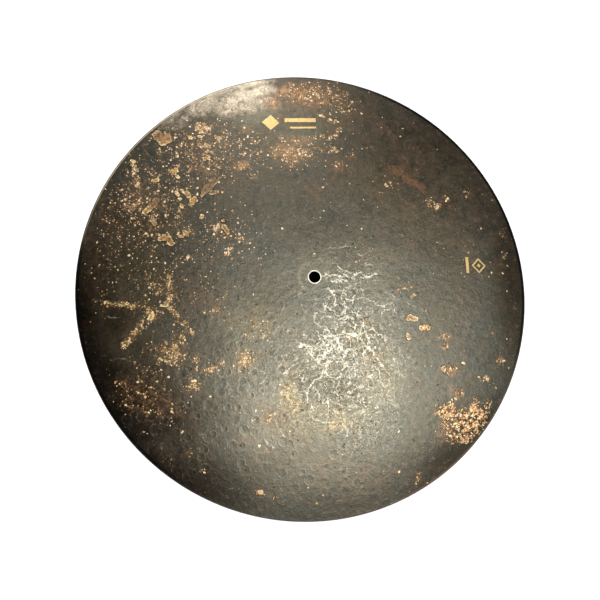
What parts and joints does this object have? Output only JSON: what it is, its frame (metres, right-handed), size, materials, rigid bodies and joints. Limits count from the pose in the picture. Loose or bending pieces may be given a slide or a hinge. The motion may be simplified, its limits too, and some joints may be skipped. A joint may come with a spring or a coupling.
{
  "type": "crash cymbal",
  "caption": "Bell-less hammered bronze crash cymbal: thin round disc with a shallow bow, dark mottled patina and a central stand hole.",
  "frame": {"origin": "on the axis of the stand hole, in the plane of the rim's underside that the disc lies on", "axes": "+Z along the axis of the stand hole, out of the convex playing side; X and Y are free, as the disc is round"},
  "size_m": [0.4825, 0.4826, 0.019],
  "materials": {
    "patinated_bronze": "dark mottled patina over hammered tin bronze, satin"
  },
  "bodies": {
    "root": {"cymbal": "patinated_bronze"}
  },
  "joints": []
}
